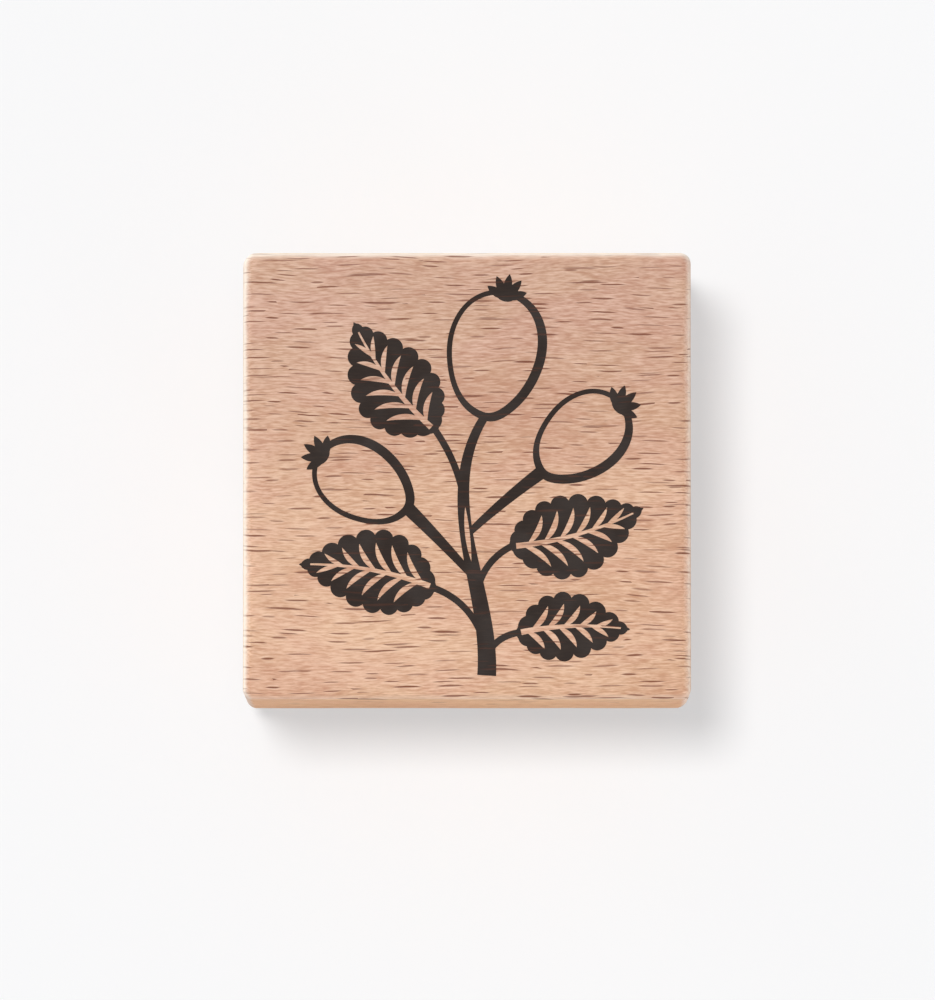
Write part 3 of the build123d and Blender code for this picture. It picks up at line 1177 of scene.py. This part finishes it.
@dataclass
class Studio:
    """A pale floor, a soft key light from the upper left, two level side lights and the camera."""

    floor_size: float = 3.0
    floor_gap: float = 0.02 * MM  # keeps the floor clear of the printing face
    pale: Colour = screen_colour(248, 248, 248)
    floor_glow: float = 0.5  # share of the floor's own brightness that no shadow darkens
    surround: float = 0.37  # brightness of the surround on the object
    sky: Colour = (0.93, 0.95, 1.0, 1.0)  # tint of the surround on the object
    key: float = 2.08
    key_lean: float = 12.2  # degrees from overhead
    key_turn: float = 139.0  # degrees from +X, counted towards +Y
    key_softness: float = 13.0
    side: float = 1.7
    fill: float = 1.4
    fill_turn: float = -52.0
    level: float = 90.0
    side_softness: float = 12.0
    distance: float = 1.4
    tilt: float = 3.3  # degrees of the camera from overhead, towards the near side
    lens_sensor: float = 36.0
    view_height: float = 111.6 * MM  # of the view, at the height of the block's top
    aim: tuple[float, float] = (0.06 * MM, -2.7 * MM)

    def make(self) -> None:
        """Builds the floor, the lights, the surround and the camera."""
        self.make_floor()
        self.make_sun("key_light", self.key, self.key_lean, self.key_turn, self.key_softness)
        self.make_sun("side_light", self.side, self.level, self.key_turn, self.side_softness)
        self.make_sun("fill_light", self.fill, self.level, self.fill_turn, self.side_softness)
        self.make_surround()
        self.make_camera()
        bpy.context.scene.view_settings.view_transform = "Standard"

    @staticmethod
    def seen(graph: Graph) -> Socket:
        """Returns 1 for a ray that shows the surface to the camera, straight, mirrored or through glass."""
        rays = graph.add("LightPath").outputs
        either = graph.math("MAXIMUM", rays["Is Camera Ray"], rays["Is Glossy Ray"])
        return graph.math("MAXIMUM", either, rays["Is Transmission Ray"])

    def make_floor(self) -> None:
        """Lays the floor just under the lowest point of the model. Part of its white is its own glow."""
        mesh = bmesh.new()
        bmesh.ops.create_grid(mesh, x_segments=1, y_segments=1, size=self.floor_size / 2)
        for vert in mesh.verts:
            vert.co.z = cad_bounds[0].z - self.floor_gap
        floor = solid_piece("floor", mesh)
        paper = bpy.data.materials.new("floor_paper")
        paper.use_nodes = True
        paper.node_tree.nodes.clear()
        graph = Graph(paper.node_tree)
        matt = graph.add("BsdfDiffuse", {"Color": self.pale})
        glow = graph.add("Emission", {"Color": self.pale, "Strength": 1.0})
        share = graph.math("MULTIPLY", self.seen(graph), self.floor_glow)
        mixed = graph.add("MixShader", {0: share, 1: matt.outputs[0], 2: glow.outputs[0]})
        graph.add("OutputMaterial", {"Surface": mixed.outputs[0]})
        floor.data.materials.append(paper)

    def make_sun(self, name: str, strength: float, lean: float, turn: float, softness: float) -> None:
        """Adds an even light from far away.

        Args:
            name: The lamp's name.
            strength: Its strength.
            lean: Its angle from overhead, in degrees.
            turn: Where it stands round the object, in degrees from +X towards +Y.
            softness: The angle that the lamp fills as seen from the object, in degrees.
        """
        lamp = bpy.data.lights.new(name, "SUN")
        lamp.energy = strength
        lamp.angle = math.radians(softness)
        sun = bpy.data.objects.new(name, lamp)
        way, slope = math.radians(turn), math.radians(lean)
        towards = Vector((math.cos(way) * math.sin(slope), math.sin(way) * math.sin(slope), math.cos(slope)))
        sun.rotation_euler = towards.to_track_quat("Z", "Y").to_euler()
        bpy.context.scene.collection.objects.link(sun)

    def make_surround(self) -> None:
        """Lights the object evenly from all round, and shows the camera a pale backdrop."""
        world = bpy.data.worlds.new("surround")
        bpy.context.scene.world = world
        world.use_nodes = True
        graph = Graph(world.node_tree)
        backdrop = world.node_tree.nodes["Background"].inputs
        seen = self.seen(graph)
        strength = graph.add("MapRange", {"Value": seen, "To Min": self.surround, "To Max": 1.0})
        graph.feed(backdrop["Color"], graph.blend(seen, self.sky, self.pale))
        graph.feed(backdrop["Strength"], strength.outputs[0])

    def make_camera(self) -> None:
        """Places the camera almost straight above, a little to the near side."""
        lens = bpy.data.cameras.new("camera")
        lens.sensor_fit = "VERTICAL"
        lens.sensor_height = self.lens_sensor
        lens.lens = self.lens_sensor * self.distance / self.view_height
        lens.clip_start = self.distance / 10
        lens.clip_end = 4 * self.floor_size
        camera = bpy.data.objects.new("camera", lens)
        tilt = math.radians(self.tilt)
        target = Vector((*self.aim, cad_bounds[1].z))
        camera.location = target + self.distance * Vector((0.0, -math.sin(tilt), math.cos(tilt)))
        camera.rotation_euler = (tilt, 0.0, 0.0)
        bpy.context.scene.collection.objects.link(camera)
        bpy.context.scene.camera = camera


def main() -> None:
    """Builds the stamp from the printed face down, and then the studio round it."""
    logging.basicConfig(level=logging.INFO, format="%(name)s: %(message)s")
    BeechBlock("beech_block", "wood_block", Body.BLOCK, Slot.BEECH, BeechFinish()).make()
    PrintedDesign("index_print", InkFinish()).make()
    Slab("upper_film", "block_tape", Body.BLOCK, Slot.TAPE, FilmFinish()).make()
    FoamCushion("cushion", "foam_cushion", Body.BLOCK, Slot.FOAM, FoamFinish()).make()
    Slab("lower_film", "die_tape", Body.DIE, Slot.TAPE, FilmFinish()).make()
    EngravedDie("engraved_die", "rubber_die", Body.DIE, Slot.RUBBER, RubberFinish()).make()
    Studio().make()


if __name__ == "__main__":
    main()
